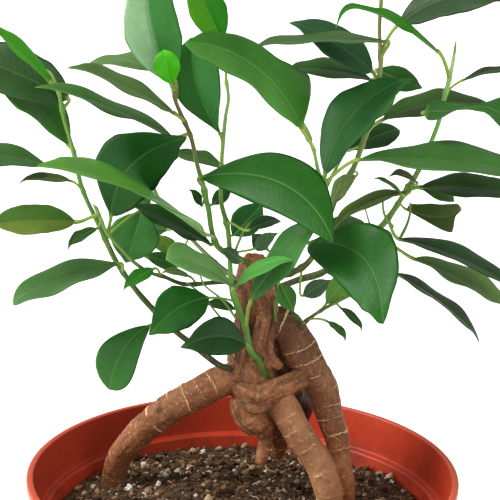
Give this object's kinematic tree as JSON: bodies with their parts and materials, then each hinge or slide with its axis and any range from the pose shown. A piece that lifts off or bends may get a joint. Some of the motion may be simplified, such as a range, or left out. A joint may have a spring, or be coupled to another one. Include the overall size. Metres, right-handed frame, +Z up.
{
  "type": "potted bonsai tree",
  "caption": "Small grafted fig bonsai with thick aerial roots and leafy shoots, growing from peat soil in a round stepped-rim nursery pot.",
  "frame": {"origin": "middle of the pot's flat underside, which rests on the surface", "axes": "+Z up through the trunk, which is also the longest extent; +X to the right and +Y to the back as seen from the front of the plant"},
  "size_m": [0.1983, 0.1591, 0.2989],
  "materials": {
    "pot_plastic": "satin",
    "potting_mix": "matte",
    "root_bark": "matte",
    "green_stem": "satin",
    "leaf_green": "satin",
    "leaf_young": "satin",
    "leaf_olive": "satin"
  },
  "bodies": {
    "root": {"pot": "pot_plastic", "soil": "potting_mix", "rootstock": "root_bark", "shoot_centre": "green_stem", "shoot_front": "green_stem", "shoot_right": "green_stem", "twig_right": "green_stem", "shoot_far_right": "green_stem", "shoot_left": "green_stem", "shoot_left_inner": "green_stem", "twig_low_right": "green_stem", "twig_low": "green_stem", "shoot_back_left": "green_stem", "shoot_back_right": "green_stem", "leaf_01": "leaf_green", "leaf_02": "leaf_green", "leaf_03": "leaf_green", "leaf_04": "leaf_green", "leaf_05": "leaf_green", "leaf_06": "leaf_green", "leaf_07": "leaf_green", "leaf_08": "leaf_green", "leaf_09": "leaf_young", "leaf_10": "leaf_green", "leaf_11": "leaf_green", "leaf_12": "leaf_green", "leaf_13": "leaf_green", "leaf_14": "leaf_green", "leaf_15": "leaf_green", "leaf_16": "leaf_green", "leaf_17": "leaf_green", "leaf_18": "leaf_green", "leaf_19": "leaf_green", "leaf_20": "leaf_green", "leaf_21": "leaf_green", "leaf_22": "leaf_green", "leaf_23": "leaf_green", "leaf_24": "leaf_young", "leaf_25": "leaf_green", "leaf_26": "leaf_green", "leaf_27": "leaf_olive", "leaf_28": "leaf_olive", "leaf_29": "leaf_green", "leaf_30": "leaf_olive", "leaf_31": "leaf_green", "leaf_32": "leaf_young", "leaf_33": "leaf_green", "leaf_34": "leaf_olive", "leaf_35": "leaf_green", "leaf_36": "leaf_green", "leaf_37": "leaf_green", "leaf_38": "leaf_green", "leaf_39": "leaf_green", "leaf_40": "leaf_olive", "leaf_41": "leaf_green", "leaf_42": "leaf_green", "leaf_43": "leaf_green", "leaf_44": "leaf_green", "leaf_45": "leaf_green", "leaf_46": "leaf_green"}
  },
  "joints": []
}
